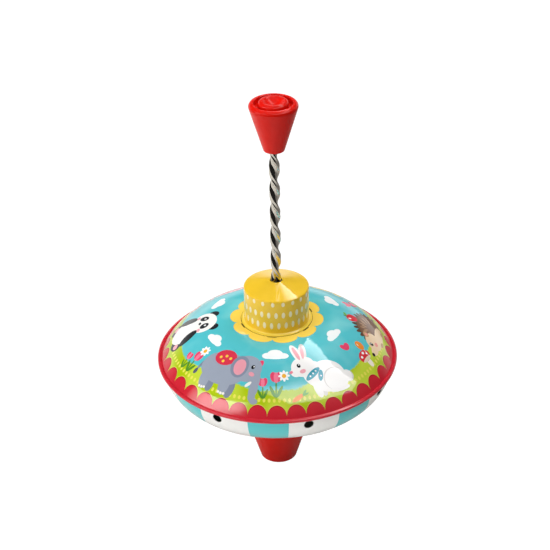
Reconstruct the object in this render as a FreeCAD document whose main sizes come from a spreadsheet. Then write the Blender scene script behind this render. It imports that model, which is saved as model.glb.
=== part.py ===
import FreeCAD, Part
import math
import os
import Sketcher

# A tin humming top, pumped by a spiral rod.
#
# Lengths are in millimetres. The axis is Z and z = 0 is the floor under the foot. The rod is drawn
# out to its upper stop. Four bodies move against each other:
#   the stand:    foot, centre tube and what holds them together; it stands still
#   the top body: both tin shells, collar, bushes, clutch ring and reeds; it spins on the tube
#   the driver:   toothed nut and slot plate inside the collar; the rod turns it
#   the plunger:  spiral rod and knob; it slides up and down

sizes = {
    # general
    "tin": 0.4,                 # sheet of both shells and the collar
    "runFit": 0.05,             # radial play of a shaft in its bush
    "runGap": 0.3,              # axial play between faces that turn on each other
    "pressGap": 0.1,            # play of a piece dropped into its seat
    "rivetHead": 0.8,           # thickness of every rivet head
    "rivetRadius": 1.2,
    "rivetHeadRadius": 1.9,
    # foot
    "footRadius": 14.5,         # where the cone would meet the floor, before its edge is rounded
    "footMargin": 1.4,          # rim of the foot inside the edge of the bowl's flat floor
    "footEdge": 1.2,
    "footWall": 2.2,
    "footFloor": 6.0,
    "footRecess": 9.0,          # level of the hollow's bottom, around the socket
    "footGap": 2.0,             # air between the foot's rim and the bowl above it
    "socketWall": 3.0,
    "ribThickness": 1.8,
    "ribDrop": 9.0,             # ribs end this far under the socket's mouth
    "ribBite": 0.6,             # how deep a rib runs into the walls beside it
    "screwRadius": 2.0,
    "screwHeadRadius": 3.8,
    "screwHead": 2.4,
    "screwLength": 11.0,
    "screwSink": 3.0,           # depth of the counterbore
    "screwPlay": 0.4,           # around the head in its counterbore
    "screwSlot": 1.0,           # width and depth of the cross slot
    "plugLength": 11.0,
    # centre tube
    "tubeRadius": 6.0,
    "tubeWall": 0.8,
    "tubeLip": 1.2,             # tube left above the clip
    "grooveDepth": 0.4,
    "clipThickness": 0.9,
    "clipWidth": 2.0,
    "clipAngle": 310.0,
    "washerRim": 2.4,           # washers past the tube
    "washerThickness": 1.0,
    # bushes and plates of the spinning body
    "bushWall": 2.5,
    "bushFlangeRadius": 11.0,
    "bushFlange": 1.5,
    "bushRise": 1.2,            # how far the upper bush stands over the deck
    "lowerBushRise": 5.0,       # how far the lower bush stands over its plate
    "plateThickness": 1.2,
    "plateMargin": 1.8,         # reed plate inside the edge of the bowl's flat floor
    "rivetEdge": 2.3,           # middle of a rivet inside its plate's edge
    # reeds
    "reedMargin": 4.4,          # outer ends of the reeds inside the plate's edge
    "slotLength": 10.0,
    "slotWidth": 2.8,
    "reedOverlap": 2.6,         # reed past the outer end of its slot
    "reedWidth": 2.2,
    "reedThickness": 0.3,
    "reedRivetRadius": 0.6,
    "reedRivetHead": 0.5,
    "intakeRadius": 3.4,
    # upper shell
    "rimRadius": 95.0,
    "beadRadius": 1.6,
    "beadStart": 145.0,         # degrees around the bead where the dome runs into it
    "beadEnd": -125.0,
    "domeRise": 33.4,           # outer face of the flat deck over the bead's middle
    "deckMargin": 1.75,         # flat deck past the collar's wall
    "crownAcross": 0.215,       # three tangent arcs run from the deck down to the seam; the first
    "crownDown": 0.018,         # two end at these shares of the way across and down
    "domeAcross": 0.7329,
    "domeDown": 0.4318,
    # lower shell
    "floorLevel": 57.5,         # outer face of the flat floor
    "floorRadius": 32.8,
    "bowlHeight": 40.4,         # from the floor to the bead's middle
    "bowlBendRadius": 30.7,     # of the turn from slope to wall
    "seamReach": 3.1,           # bead past the wall
    "wallDrop": 0.8,            # end of the turn under the bead's middle
    "seamPlay": 0.3,            # around the flange inside the bead
    "soundHoleRadius": 3.8,
    "soundHoleDrop": 6.5,       # holes under the bead's middle
    "soundHoleTurn": 14.5,      # degrees, first hole from +X
    # collar
    "collarPlay": 0.86,         # between the collar's hole and the rod
    "collarHeight": 34.7,       # peak over the deck
    "collarRadius": 25.45,
    "shoulderDrop": 5.1,        # shoulder under the peak
    "shoulderRadius": 1.2,
    "skirtBendRadius": 2.2,
    "skirtWidth": 2.4,          # how far the skirt stands out from the wall
    "tabWidth": 7.0,
    "tabFoot": 4.3,             # bent part of a tab, under the deck
    "tabTurn": 22.0,            # degrees, first tab from +X
    "slitPlay": 0.2,
    "slitReach": 0.8,           # slit left open outside the skirt
    # clutch
    "clutchBase": 2.0,
    "clutchMargin": 4.25,       # ring and bridge plate inside the collar's wall
    "toothInner": 11.0,
    "toothMargin": 0.7,         # teeth inside the nut's edge
    "toothWidth": 3.2,
    "toothTip": 0.8,
    "toothHeight": 2.5,
    "liftGap": 0.5,             # between the tooth tips while the driver is lifted
    "keeperPlay": 0.4,          # around the upper bush and its washer inside the ring
    # driver
    "nutFloor": 3.0,
    "nutMargin": 4.2,           # nut inside the clutch ring's edge
    "cupRadius": 12.0,
    "cupWall": 3.0,
    "nutPlay": 0.6,             # around the stop in the nut's bore
    "slotPlateThickness": 2.5,
    "slotPlay": 0.25,           # between rod and slot
    "plateScrewCircle": 6.9,
    "plateScrewRadius": 0.9,
    "plateScrewHeadRadius": 1.5,
    "plateScrewHead": 1.0,
    "plateScrewDepth": 2.4,
    # spiral rod
    "rodWidth": 7.8,
    "rodThickness": 4.3,
    "rodCorner": 1.1,
    "rodLead": 39.0,            # left-handed
    "crestDrop": 34.95,         # under the knob, where the bar lies broadside along X
    "stopGap": 0.5,             # between the stop and the slot plate
    "stopThickness": 1.5,
    "stopPlay": 0.5,            # around the stop in the tube
    "stopHead": 1.2,
    "spigotRadius": 2.0,
    "stemRadius": 2.5,
    # knob
    "stroke": 111.0,
    "knobGap": 1.15,            # left over the collar at the end of the stroke
    "knobHeight": 38.35,
    "knobBottomRadius": 8.0,
    "knobTopRadius": 19.5,      # before the top edge is rounded
    "knobEdge": 3.0,
    "knobBottomEdge": 0.5,
    "knobRimWidth": 5.0,
    "rimInnerEdge": 0.6,
    "grooveBottom": 4.0,        # groove's depth under the top of the rim
    "capThickness": 2.0,
    "capSkirt": 4.0,
    "capSkirtWall": 1.6,
    "capGroove": 3.1,           # between the rim and the button
    "capRise": 1.5,             # top of the button over the rim
    "capEdge": 2.7,             # the button's round shoulder
    "crestWidth": 1.2,          # ring between the shoulder and the hollow for the palm
    "dishDepth": 3.15,
    "dishFloor": 1.25,          # plastic under the middle of that hollow
    "dishEdge": 0.8,
    "capLedge": 4.7,            # on which the cap rests
    "rodRecess": 11.0,
    "rodRecessPlay": 0.3,
    "knobFloor": 6.0,
    "knobWasherRadius": 6.2,
    "nutFlats": 8.0,
    "nutHeight": 4.0,
    "stemEnd": 1.5,             # thread past the nut
}

footRibs = 4
soundHoles = 8
reedCount = 8
tabCount = 6
toothCount = 12
bridgeRivets = 3
plateRivets = 3
plateScrews = 2

doc = FreeCAD.newDocument("HummingTop")
sheet = doc.addObject("Spreadsheet::Sheet", "Size")
for row, (name, value) in enumerate(sizes.items(), start=1):
    sheet.set(f"A{row}", name)
    sheet.set(f"B{row}", str(value))
    sheet.setAlias(f"B{row}", name)
doc.recompute()

# Levels and radii that several pieces share, as expressions on the sheet.

beadLevel = "(Size.floorLevel + Size.bowlHeight)"
deckLevel = f"({beadLevel} + Size.domeRise)"
collarPeak = f"({deckLevel} + Size.collarHeight)"
shoulderLevel = f"({collarPeak} - Size.shoulderDrop)"
knobBottom = f"({collarPeak} + Size.knobGap + Size.stroke)"
knobTop = f"({knobBottom} + Size.knobHeight)"

footTop = "(Size.floorLevel - Size.footGap)"
footTopRadius = "(Size.floorRadius - Size.footMargin)"
tubeInner = "(Size.tubeRadius - Size.tubeWall)"
tubeBore = "(Size.tubeRadius + Size.runFit)"
bushRadius = "(Size.tubeRadius + Size.runFit + Size.bushWall)"
washerRadius = "(Size.tubeRadius + Size.washerRim)"

lowerBushBottom = "(Size.floorLevel - Size.bushFlange)"
thrustTop = f"({lowerBushBottom} - Size.runGap)"
socketTop = f"({thrustTop} - Size.washerThickness)"
floorInside = "(Size.floorLevel + Size.tin)"
reedPlateTop = f"({floorInside} + Size.plateThickness)"
reedPlateRadius = "(Size.floorRadius - Size.plateMargin)"
plateRivetCircle = f"({reedPlateRadius} - Size.rivetEdge)"
reedEnd = f"({reedPlateRadius} - Size.reedMargin)"
reedRivetCircle = f"({reedEnd} - Size.reedOverlap / 2)"
slotEnd = f"({reedEnd} - Size.reedOverlap)"
slotStart = f"({slotEnd} - Size.slotLength)"

deckInside = f"({deckLevel} - Size.tin)"
bridgeBottom = f"({deckInside} - Size.plateThickness)"
upperBushTop = f"({deckLevel} + Size.bushRise)"
keeperBottom = f"({upperBushTop} + Size.runGap)"
clipBottom = f"({keeperBottom} + Size.washerThickness)"
clipTop = f"({clipBottom} + Size.clipThickness)"
tubeTop = f"({clipTop} + Size.tubeLip)"

clutchRadius = "(Size.collarRadius - Size.clutchMargin)"
clutchRivetCircle = f"({clutchRadius} - Size.rivetEdge)"
nutRadius = f"({clutchRadius} - Size.nutMargin)"
toothLength = f"({nutRadius} - Size.toothMargin - Size.toothInner)"
clutchTop = f"({deckLevel} + Size.clutchBase)"
toothTop = f"({clutchTop} + Size.toothHeight)"
nutToothTip = f"({toothTop} + Size.liftGap)"
nutBottom = f"({nutToothTip} + Size.toothHeight)"
nutFloorTop = f"({nutBottom} + Size.nutFloor)"
slotPlateTop = f"({nutFloorTop} + Size.slotPlateThickness)"
cupInner = "(Size.cupRadius - Size.cupWall)"
collarHole = "(Size.rodWidth / 2 + Size.collarPlay)"
collarSlope = f"(Size.shoulderDrop / (Size.collarRadius - {collarHole}))"
collarLean = f"sqrt(1 + {collarSlope} ^ 2)"
cupTop = (f"({collarPeak} - (Size.cupRadius - {collarHole}) * {collarSlope}"
          f" - Size.tin * {collarLean} - Size.runGap)")

stopRadius = f"({tubeInner} - Size.stopPlay)"
nutBore = f"({stopRadius} + Size.nutPlay)"
stopTop = f"({nutFloorTop} - Size.stopGap)"
stopBottom = f"({stopTop} - Size.stopThickness)"
rodShoulder = f"({knobBottom} + Size.rodRecess)"
knobFloorTop = f"({rodShoulder} + Size.knobFloor)"
knobNutBottom = f"({knobFloorTop} + Size.washerThickness)"
stemTop = f"({knobNutBottom} + Size.nutHeight + Size.stemEnd)"
rimInner = "(Size.knobTopRadius - Size.knobRimWidth)"
cavityRadius = f"({rimInner} - Size.capLedge)"
capTop = f"({knobTop} - Size.grooveBottom)"
capBottom = f"({capTop} - Size.capThickness)"


def number(expression):
    """Value of an expression on the sheet."""
    return float(sheet.evalExpression(expression))


def originPart(body, role):
    for feature in body.Origin.OriginFeatures:
        if feature.Role == role:
            return feature


def newBody(name):
    body = doc.addObject("PartDesign::Body", name)
    body.Label = name
    body.AllowCompound = True
    return body


def newSketch(body, name, plane, offset=None):
    sketch = body.newObject("Sketcher::SketchObject", name)
    sketch.AttachmentSupport = (originPart(body, plane), [""])
    sketch.MapMode = "FlatFace"
    if offset:
        sketch.setExpression("AttachmentOffset.Base.z", offset)
    return sketch


def setPoint(sketch, edge, end, across, up):
    """Ties one end of an edge to two expressions, measured from the sketch's origin."""
    for kind, axis, expression in (("DistanceX", -2, across), ("DistanceY", -1, up)):
        if expression == "0":
            sketch.addConstraint(Sketcher.Constraint("PointOnObject", edge, end, axis))
            continue
        place = Sketcher.Constraint(kind, -1, 1, edge, end, number(expression))
        index = sketch.addConstraint(place)
        sketch.setExpression(f"Constraints[{index}]", expression)


def drawOutline(sketch, corners):
    """Closed outline of straight edges; corners are pairs of expressions."""
    points = [FreeCAD.Vector(number(across), number(up), 0) for across, up in corners]
    count = len(points)
    for i in range(count):
        sketch.addGeometry(Part.LineSegment(points[i], points[(i + 1) % count]))
    for i in range(count):
        sketch.addConstraint(Sketcher.Constraint("Coincident", i, 2, (i + 1) % count, 1))
    for i, (across, up) in enumerate(corners):
        setPoint(sketch, i, 1, across, up)


def drawCircle(sketch, across, radius):
    """Circle whose centre lies on the sketch's horizontal axis."""
    centre = FreeCAD.Vector(number(across), 0, 0)
    edge = sketch.addGeometry(Part.Circle(centre, FreeCAD.Vector(0, 0, 1), number(radius)))
    index = sketch.addConstraint(Sketcher.Constraint("Radius", edge, number(radius)))
    sketch.setExpression(f"Constraints[{index}]", radius)
    setPoint(sketch, edge, 3, across, "0")


def turned(name, corners, angle=None):
    """A lathe-turned piece: half section (radius, level) revolved about Z."""
    body = newBody(name)
    section = newSketch(body, name + "Section", "XZ_Plane")
    drawOutline(section, corners)
    turn = body.newObject("PartDesign::Revolution", name + "Turn")
    turn.Profile = section
    turn.ReferenceAxis = (section, ["V_Axis"])
    if angle:
        turn.setExpression("Angle", angle)
    body.Tip = turn
    doc.recompute()
    return body


def ring(name, inner, outer, bottom, top):
    return turned(name, [(inner, bottom), (outer, bottom), (outer, top), (inner, top)])


def roundEdges(body, name, radius, places):
    """Rounds the circular edges found at the given (radius, level) pairs."""
    base = body.Tip
    names = []
    for index, edge in enumerate(base.Shape.Edges, start=1):
        if edge.Degenerated or not isinstance(edge.Curve, Part.Circle):
            continue
        for across, up in places:
            near = abs(edge.Curve.Radius - number(across)) < 1e-4
            if near and abs(edge.Curve.Center.z - number(up)) < 1e-4:
                names.append(f"Edge{index}")
    fillet = body.newObject("PartDesign::Fillet", name)
    fillet.Base = (base, names)
    fillet.setExpression("Radius", radius)
    body.Tip = fillet
    doc.recompute()


def repeat(body, name, features, count):
    """Repeats features of a body about Z."""
    pattern = body.newObject("PartDesign::PolarPattern", name)
    pattern.Originals = features
    pattern.Axis = (originPart(body, "Z_Axis"), [""])
    pattern.Angle = 360
    pattern.Occurrences = count
    body.Tip = pattern
    doc.recompute()


def pad(body, sketch, length, name):
    feature = body.newObject("PartDesign::Pad", name)
    feature.Profile = sketch
    feature.setExpression("Length", length)
    body.Tip = feature
    doc.recompute()
    return feature


def drill(body, name, circle, radius, count, bottom, depth):
    """A ring of round holes, cut upwards from a level; the volume taken away is compared."""
    before = body.Shape.Volume
    sketch = newSketch(body, name + "Circle", "XY_Plane", bottom)
    drawCircle(sketch, circle, radius)
    pocket = body.newObject("PartDesign::Pocket", name)
    pocket.Profile = sketch
    pocket.Reversed = True
    pocket.setExpression("Length", depth)
    body.Tip = pocket
    doc.recompute()
    repeat(body, name + "Ring", [pocket], count)
    wanted = count * math.pi * number(radius) ** 2 * number(depth)
    if before - body.Shape.Volume < 0.5 * wanted:
        raise RuntimeError(name + " cut too little")


def rivets(name, circle, radius, headRadius, headThickness, bottom, top, count, flush=False):
    """Rivets on a circle: a shank between two levels with a head on top, and below unless flush."""
    body = newBody(name)
    parts = [
        ("Shank", radius, bottom, f"{top} - {bottom}"),
        ("Head", headRadius, top, headThickness),
    ]
    if not flush:
        parts.append(("Foot", headRadius, f"{bottom} - {headThickness}", headThickness))
    pads = []
    for word, size, level, length in parts:
        sketch = newSketch(body, name + word + "Circle", "XY_Plane", level)
        drawCircle(sketch, circle, size)
        pads.append(pad(body, sketch, length, name + word))
    repeat(body, name + "Ring", pads, count)
    return body


def twistedBar(grow, low, high):
    """The spiral bar between two levels, its section grown by a clearance all round."""
    lead = number("Size.rodLead")
    halfWidth = number("Size.rodWidth") / 2 + grow
    halfThickness = number("Size.rodThickness") / 2 + grow
    corner = number("Size.rodCorner") + grow
    section = []
    for turn, long, short in ((0, halfWidth, halfThickness), (90, halfThickness, halfWidth)):
        for half in (0, 180):
            spin = FreeCAD.Rotation(FreeCAD.Vector(0, 0, 1), turn + half)
            a = FreeCAD.Vector(long, corner - short, 0)
            b = FreeCAD.Vector(long, short - corner, 0)
            middle = FreeCAD.Vector(long - corner, short - corner, 0)
            c = middle + FreeCAD.Vector(corner, corner, 0) * math.sqrt(0.5)
            d = middle + FreeCAD.Vector(0, corner, 0)
            section.append(Part.LineSegment(spin.multVec(a), spin.multVec(b)).toShape())
            section.append(Part.Arc(spin.multVec(b), spin.multVec(c), spin.multVec(d)).toShape())
    profile = Part.Wire(Part.__sortEdges__(section))
    profile.rotate(FreeCAD.Vector(0, 0, 0), FreeCAD.Vector(0, 0, 1), barAngle(low))
    profile.translate(FreeCAD.Vector(0, 0, low))
    spine = Part.Wire([Part.makeLine(FreeCAD.Vector(0, 0, low), FreeCAD.Vector(0, 0, high))])
    guide = Part.makeHelix(lead, high - low, halfWidth, 0, True)
    guide.rotate(FreeCAD.Vector(0, 0, 0), FreeCAD.Vector(0, 0, 1), barAngle(low))
    guide.translate(FreeCAD.Vector(0, 0, low))
    sweep = Part.BRepOffsetAPI.MakePipeShell(spine)
    sweep.setAuxiliarySpine(Part.Wire(guide.Edges), True, 0)
    sweep.add(profile)
    sweep.build()
    sweep.makeSolid()
    bar = sweep.shape()
    wanted = Part.Face(profile).Area * (high - low)
    if abs(bar.Volume - wanted) > 0.01 * wanted:
        raise RuntimeError("the twisted bar has the wrong volume")
    return bar


def barAngle(level):
    """Degrees from +X to the bar's broad direction at a level; it falls as the level rises."""
    crest = number(f"{knobBottom} - Size.crestDrop")
    return -360 * (level - crest) / number("Size.rodLead")


def feature(name, shape):
    piece = doc.addObject("Part::Feature", name)
    piece.Label = name
    piece.Shape = shape
    piece.Placement = FreeCAD.Placement()
    return piece


def at(across, up):
    return FreeCAD.Vector(across, 0, up)


def line(start, end):
    return Part.LineSegment(start, end).toShape()


def onCircle(centre, radius, degrees):
    turn = math.radians(degrees)
    return centre + at(radius * math.cos(turn), radius * math.sin(turn))


def arc(centre, radius, first, last):
    """Arc in the XZ plane between two angles, counted from +X towards +Z."""
    middle = (first + last) / 2
    ends = [onCircle(centre, radius, angle) for angle in (first, middle, last)]
    return Part.Arc(*ends).toShape()


def bendTo(start, heading, end):
    """Arc that leaves start at a heading (degrees below +X), and the heading at which it ends."""
    way = end - start
    chord = math.degrees(math.atan2(-way.z, way.x))
    rise = way.Length / 2 * math.tan(math.radians(chord - heading) / 2)
    middle = onCircle((start + end) * 0.5, rise, 90 - chord)
    return Part.Arc(start, middle, end).toShape(), 2 * chord - heading


def pressed(edges, thickness):
    """Sheet metal: an open outline thickened to one side and revolved about Z."""
    band = Part.Wire(edges).makeOffset2D(thickness, 0, True, True, False)
    return band.Faces[0].revolve(FreeCAD.Vector(0, 0, 0), FreeCAD.Vector(0, 0, 1), 360)


def around(tool, count, first=0):
    """Copies of a tool, evenly spaced about Z."""
    copies = []
    for i in range(count):
        copy = tool.copy()
        angle = first + i * 360 / count
        copy.rotate(FreeCAD.Vector(0, 0, 0), FreeCAD.Vector(0, 0, 1), angle)
        copies.append(copy)
    return copies


def cutAll(shape, tools):
    """Cuts the tools one by one; each must take something away."""
    for tool in tools:
        left = shape.cut(tool)
        if left.Volume >= shape.Volume:
            raise RuntimeError("a cut took nothing away")
        shape = left
    return shape


def pin(circle, radius, low, high):
    return Part.makeCylinder(radius, high - low, FreeCAD.Vector(circle, 0, low))


def punch(circle, radius, level):
    """Tool for a round hole through a sheet whose outer face lies at a level."""
    reach = 2 * number("Size.tin")
    return pin(circle, radius, level - reach, level + reach)


# ---- stand ----


def footCone():
    socketRadius = "(Size.tubeRadius + Size.socketWall)"
    counterbore = "(Size.screwHeadRadius + Size.screwPlay)"
    screwHole = "(Size.screwRadius + Size.screwPlay)"

    def innerWall(level):
        flare = f"({footTopRadius} - Size.footRadius) / {footTop}"
        return f"(Size.footRadius + {flare} * {level} - Size.footWall)"

    body = turned("foot_cone", [
        (screwHole, "Size.screwSink"),
        (counterbore, "Size.screwSink"),
        (counterbore, "0"),
        ("Size.footRadius", "0"),
        (footTopRadius, footTop),
        (f"{footTopRadius} - Size.footWall", footTop),
        (innerWall("Size.footRecess"), "Size.footRecess"),
        (socketRadius, "Size.footRecess"),
        (socketRadius, socketTop),
        ("Size.tubeRadius", socketTop),
        ("Size.tubeRadius", "Size.footFloor"),
        (screwHole, "Size.footFloor"),
    ])
    roundEdges(body, "FootEdge", "Size.footEdge", [("Size.footRadius", "0")])
    ribTop = f"({socketTop} - Size.ribDrop)"
    ribBottom = "(Size.footRecess - Size.ribBite)"
    rib = newSketch(body, "RibSection", "XZ_Plane")
    drawOutline(rib, [
        (f"{socketRadius} - Size.ribBite", ribBottom),
        (f"{innerWall(ribBottom)} + Size.ribBite", ribBottom),
        (f"{innerWall(ribTop)} + Size.ribBite", ribTop),
        (f"{socketRadius} - Size.ribBite", ribTop),
    ])
    web = body.newObject("PartDesign::Pad", "Rib")
    web.Profile = rib
    web.Midplane = True
    web.setExpression("Length", "Size.ribThickness")
    body.Tip = web
    doc.recompute()
    repeat(body, "Ribs", [web], footRibs)
    return body


def centreTube():
    groove = "(Size.tubeRadius - Size.grooveDepth)"
    return turned("centre_tube", [
        (tubeInner, "Size.footFloor"),
        ("Size.tubeRadius", "Size.footFloor"),
        ("Size.tubeRadius", clipBottom),
        (groove, clipBottom),
        (groove, clipTop),
        ("Size.tubeRadius", clipTop),
        ("Size.tubeRadius", tubeTop),
        (tubeInner, tubeTop),
    ])


def tubePlug():
    return ring("tube_plug", "Size.screwRadius", tubeInner, "Size.footFloor",
                "Size.footFloor + Size.plugLength")


def footScrew():
    headBottom = "(Size.screwSink - Size.screwHead)"
    body = turned("foot_screw", [
        ("0", headBottom),
        ("Size.screwHeadRadius", headBottom),
        ("Size.screwHeadRadius", "Size.screwSink"),
        ("Size.screwRadius", "Size.screwSink"),
        ("Size.screwRadius", "Size.screwSink + Size.screwLength"),
        ("0", "Size.screwSink + Size.screwLength"),
    ])
    cross = newSketch(body, "CrossArm", "XY_Plane", headBottom)
    drawOutline(cross, [
        ("0", "-Size.screwSlot / 2"),
        ("Size.screwRadius", "-Size.screwSlot / 2"),
        ("Size.screwRadius", "Size.screwSlot / 2"),
        ("0", "Size.screwSlot / 2"),
    ])
    before = body.Shape.Volume
    slot = body.newObject("PartDesign::Pocket", "CrossSlot")
    slot.Profile = cross
    slot.Reversed = True
    slot.setExpression("Length", "Size.screwSlot")
    body.Tip = slot
    doc.recompute()
    if body.Shape.Volume >= before:
        raise RuntimeError("the cross slot cut nothing")
    repeat(body, "Cross", [slot], 4)
    return body


def thrustWasher():
    return ring("thrust_washer", tubeBore, washerRadius, socketTop, thrustTop)


def keeperWasher():
    return ring("keeper_washer", tubeBore, washerRadius, keeperBottom, clipBottom)


def keeperClip():
    groove = "(Size.tubeRadius - Size.grooveDepth)"
    outer = f"({groove} + Size.clipWidth)"
    return turned("keeper_clip", [
        (groove, clipBottom),
        (outer, clipBottom),
        (outer, clipTop),
        (groove, clipTop),
    ], "Size.clipAngle")


# ---- top body ----


def topShell():
    tin = number("Size.tin")
    deck = number(deckLevel)
    beadRadius = number("Size.beadRadius")
    beadCentre = at(number("Size.rimRadius") - beadRadius, number(beadLevel))
    beadStart = number("Size.beadStart")
    valley = onCircle(beadCentre, beadRadius, beadStart)
    deckEdge = at(number("Size.collarRadius + Size.deckMargin"), deck)
    span = valley - deckEdge
    crownEnd = deckEdge + at(span.x * number("Size.crownAcross"), span.z * number("Size.crownDown"))
    domeEnd = deckEdge + at(span.x * number("Size.domeAcross"), span.z * number("Size.domeDown"))
    crown, heading = bendTo(deckEdge, 0, crownEnd)
    dome, heading = bendTo(crownEnd, heading, domeEnd)
    brim, heading = bendTo(domeEnd, heading, valley)
    shell = pressed([
        line(at(number(bushRadius), deck), deckEdge),
        crown,
        dome,
        brim,
        arc(beadCentre, beadRadius, beadStart, number("Size.beadEnd")),
    ], -tin)
    holes = around(punch(number(clutchRivetCircle), number("Size.rivetRadius"), deck), bridgeRivets)
    skirt = number("Size.collarRadius") + number("Size.skirtWidth")
    play = number("Size.slitPlay")
    inner = skirt - tin - play
    width = number("Size.tabWidth") + 2 * play
    slit = Part.makeBox(skirt + number("Size.slitReach") - inner, width, 4 * tin,
                        FreeCAD.Vector(inner, -width / 2, deck - 2 * tin))
    holes += around(slit, tabCount, number("Size.tabTurn"))
    return feature("top_shell", cutAll(shell, holes))


def bottomShell():
    tin = number("Size.tin")
    floor = number("Size.floorLevel")
    bead = number(beadLevel)
    rim = number("Size.rimRadius")
    wallRadius = rim - number("Size.seamReach")
    bend = number("Size.bowlBendRadius")
    centre = at(wallRadius - bend, bead - number("Size.wallDrop"))
    # the slope runs from the floor's edge to where it touches the wall's turn
    edge = at(number("Size.floorRadius"), floor)
    reach = (edge - centre).Length
    lean = math.degrees(math.atan2(edge.z - centre.z, edge.x - centre.x))
    touch = lean + math.degrees(math.acos(bend / reach))
    lip = at(wallRadius, bead + number("Size.pressGap"))
    shell = pressed([
        line(at(number(bushRadius), floor), edge),
        line(edge, onCircle(centre, bend, touch)),
        arc(centre, bend, touch, 0),
        line(onCircle(centre, bend, 0), lip),
        line(lip, at(rim - tin - number("Size.seamPlay"), lip.z)),
    ], tin)
    bore = Part.makeCylinder(number("Size.soundHoleRadius"), 2 * bend,
                             at(wallRadius - bend, bead - number("Size.soundHoleDrop")),
                             FreeCAD.Vector(1, 0, 0))
    holes = around(bore, soundHoles, number("Size.soundHoleTurn"))
    intakeCircle = number(f"({slotStart} + {slotEnd}) / 2")
    holes += around(punch(intakeCircle, number("Size.intakeRadius"), floor), reedCount)
    holes += around(punch(number(plateRivetCircle), number("Size.rivetRadius"), floor), plateRivets)
    return feature("bottom_shell", cutAll(shell, holes))


def collar():
    tin = number("Size.tin")
    deck = number(deckLevel)
    radius = number("Size.collarRadius")
    shoulder = number(shoulderLevel)
    curve = number("Size.shoulderRadius")
    peak = at(number(collarHole), number(collarPeak))
    corner = at(radius, shoulder)
    slope = math.atan2(peak.z - shoulder, radius - peak.x)
    # the rounded shoulder touches both the cone and the wall
    back = curve * math.tan((math.pi / 2 - slope) / 2)
    centre = corner + at(-curve, -back)
    skirtBend = number("Size.skirtBendRadius")
    skirt = radius + number("Size.skirtWidth")
    skirtTop = deck + tin
    wallEnd = at(radius, skirtTop + skirtBend)
    skirtCentre = wallEnd + at(skirtBend, 0)
    shell = pressed([
        line(peak, onCircle(centre, curve, 90 - math.degrees(slope))),
        arc(centre, curve, 90 - math.degrees(slope), 0),
        line(onCircle(centre, curve, 0), wallEnd),
        arc(skirtCentre, skirtBend, 180, 270),
        line(skirtCentre + at(0, -skirtBend), at(skirt, skirtTop)),
    ], -tin)
    width = number("Size.tabWidth")
    under = deck - 2 * tin
    leg = Part.makeBox(tin, width, skirtTop - under, FreeCAD.Vector(skirt - tin, -width / 2, under))
    foot = Part.makeBox(number("Size.tabFoot"), width, tin,
                        FreeCAD.Vector(skirt - number("Size.tabFoot"), -width / 2, under))
    tabs = around(leg.fuse(foot), tabCount, number("Size.tabTurn"))
    return feature("collar", shell.fuse(tabs).removeSplitter())


def bridgePlate():
    body = ring("bridge_plate", bushRadius, clutchRadius, bridgeBottom, deckInside)
    drill(body, "BridgeHole", clutchRivetCircle, "Size.rivetRadius", bridgeRivets,
          bridgeBottom, "Size.plateThickness")
    return body


def bush(name, flangeBottom, top):
    flangeTop = f"({flangeBottom} + Size.bushFlange)"
    return turned(name, [
        (tubeBore, flangeBottom),
        ("Size.bushFlangeRadius", flangeBottom),
        ("Size.bushFlangeRadius", flangeTop),
        (bushRadius, flangeTop),
        (bushRadius, top),
        (tubeBore, top),
    ])


def reedPlate():
    body = ring("reed_plate", bushRadius, reedPlateRadius, floorInside, reedPlateTop)
    slot = newSketch(body, "ReedSlotOutline", "XY_Plane", floorInside)
    drawOutline(slot, [
        (slotStart, "-Size.slotWidth / 2"),
        (slotEnd, "-Size.slotWidth / 2"),
        (slotEnd, "Size.slotWidth / 2"),
        (slotStart, "Size.slotWidth / 2"),
    ])
    before = body.Shape.Volume
    pocket = body.newObject("PartDesign::Pocket", "ReedSlot")
    pocket.Profile = slot
    pocket.Reversed = True
    pocket.setExpression("Length", "Size.plateThickness")
    body.Tip = pocket
    doc.recompute()
    if body.Shape.Volume >= before:
        raise RuntimeError("the reed slot cut nothing")
    repeat(body, "ReedSlots", [pocket], reedCount)
    drill(body, "PlateRivetHole", plateRivetCircle, "Size.rivetRadius", plateRivets,
          floorInside, "Size.plateThickness")
    drill(body, "ReedRivetHole", reedRivetCircle, "Size.reedRivetRadius", reedCount,
          floorInside, "Size.plateThickness")
    return body


def reeds():
    body = newBody("reeds")
    outline = newSketch(body, "ReedOutline", "XY_Plane", reedPlateTop)
    tip = f"({slotStart} + Size.slotWidth - Size.reedWidth)"
    drawOutline(outline, [
        (tip, "-Size.reedWidth / 2"),
        (reedEnd, "-Size.reedWidth / 2"),
        (reedEnd, "Size.reedWidth / 2"),
        (tip, "Size.reedWidth / 2"),
    ])
    drawCircle(outline, reedRivetCircle, "Size.reedRivetRadius")
    tongue = pad(body, outline, "Size.reedThickness", "Reed")
    repeat(body, "Reeds", [tongue], reedCount)
    return body


def clutchRing():
    body = ring("clutch_ring", f"{bushRadius} + Size.keeperPlay", clutchRadius, deckLevel, clutchTop)
    drill(body, "ClutchRivetHole", clutchRivetCircle, "Size.rivetRadius", bridgeRivets,
          deckLevel, "Size.clutchBase")
    tooth = newSketch(body, "ClutchToothOutline", "YZ_Plane", "Size.toothInner")
    drawOutline(tooth, [
        ("-Size.toothWidth / 2", clutchTop),
        ("Size.toothWidth / 2", clutchTop),
        ("Size.toothWidth / 2", toothTop),
        ("Size.toothWidth / 2 - Size.toothTip", toothTop),
    ])
    saw = pad(body, tooth, toothLength, "ClutchTooth")
    repeat(body, "ClutchTeeth", [saw], toothCount)
    return body


# ---- driver ----


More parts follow.
